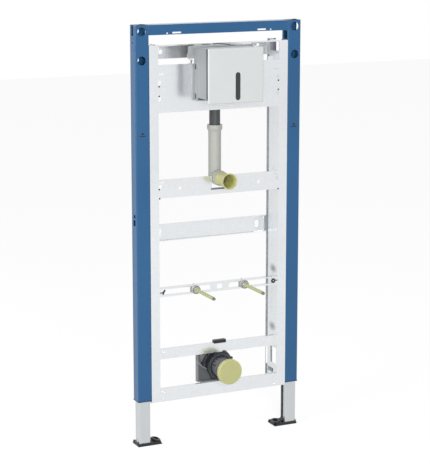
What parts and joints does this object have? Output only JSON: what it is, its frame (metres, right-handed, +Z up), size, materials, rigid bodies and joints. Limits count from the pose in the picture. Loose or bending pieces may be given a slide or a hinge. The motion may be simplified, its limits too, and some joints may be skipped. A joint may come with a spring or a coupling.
{
  "type": "urinal installation frame",
  "caption": "Steel wall frame that carries a wall-hung urinal, with flush box, flush pipe, fixing rods, drain connector and telescopic feet.",
  "frame": {"origin": "on the rear flat face of the rear top bar, midway between the uprights, where the frame lies on the wall", "axes": "+Z up, +Y into the wall, +X to the right as seen from the front; the floor is at Z = -1.0953 m"},
  "size_m": [0.501, 0.2, 1.1795],
  "materials": {
    "blue_paint": "satin blue powder coat",
    "zinc_sheet": "bright zinc-plated sheet",
    "zinc_foot": "zinc-plated channel",
    "box_plastic": "light grey moulded plastic",
    "cover_plastic": "white moulded plastic",
    "sensor_dark": "dark sensor window",
    "outlet_dark": "dark grey pipe plastic",
    "pipe_grey": "warm grey pipe plastic",
    "cap_yellow": "pale yellow-green protective plastic",
    "clip_grey": "grey edge strip",
    "clip_black": "black clip plastic",
    "drain_dark": "dark grey drain plastic",
    "nut_zinc": "zinc-plated nut and backing plate",
    "rod_steel": "zinc-plated threaded rod",
    "foot_black": "black foot plastic"
  },
  "bodies": {
    "frame": {"upright_left": "blue_paint", "upright_right": "blue_paint", "top_rail": "blue_paint", "inner_upright_left": "zinc_sheet", "inner_upright_right": "zinc_sheet", "control_plate": "zinc_sheet", "rear_top_bar": "zinc_sheet", "bend_plate": "zinc_sheet", "rear_traverse": "zinc_sheet", "rod_rail": "zinc_sheet", "drain_bar_upper": "zinc_sheet", "drain_bar_lower": "zinc_sheet", "control_box": "box_plastic", "protection_box": "box_plastic", "cover_seal": "clip_black", "box_cover": "cover_plastic", "sensor_window": "sensor_dark", "flush_outlet": "outlet_dark", "flush_pipe": "pipe_grey", "inlet_sleeve": "cap_yellow", "bend_clip": "clip_grey", "rod_anchor_left": "nut_zinc", "rod_anchor_right": "nut_zinc", "rod_nut_left": "nut_zinc", "rod_nut_right": "nut_zinc", "rod_left": "rod_steel", "rod_right": "rod_steel", "rod_sleeve_left": "cap_yellow", "rod_sleeve_right": "cap_yellow", "rail_clip_left": "clip_black", "rail_clip_right": "clip_black", "drain_bracket": "drain_dark", "drain_clip": "clip_black", "drain_connector": "drain_dark", "drain_ring": "drain_dark", "drain_cap": "cap_yellow", "foot_brake_left": "clip_black", "foot_brake_right": "clip_black", "top_plug_left": "clip_black", "top_plug_right": "clip_black"},
    "foot_left": {"foot_tube_left": "zinc_foot", "foot_plate_left": "foot_black"},
    "foot_right": {"foot_tube_right": "zinc_foot", "foot_plate_right": "foot_black"}
  },
  "joints": [
    {"name": "foot_left_slide", "type": "slide", "parent": "frame", "child": "foot_left", "axis": [0, 0, 1], "range_m": [-0.07, 0.1]},
    {"name": "foot_right_slide", "type": "slide", "parent": "frame", "child": "foot_right", "axis": [0, 0, 1], "range_m": [-0.07, 0.1]}
  ]
}
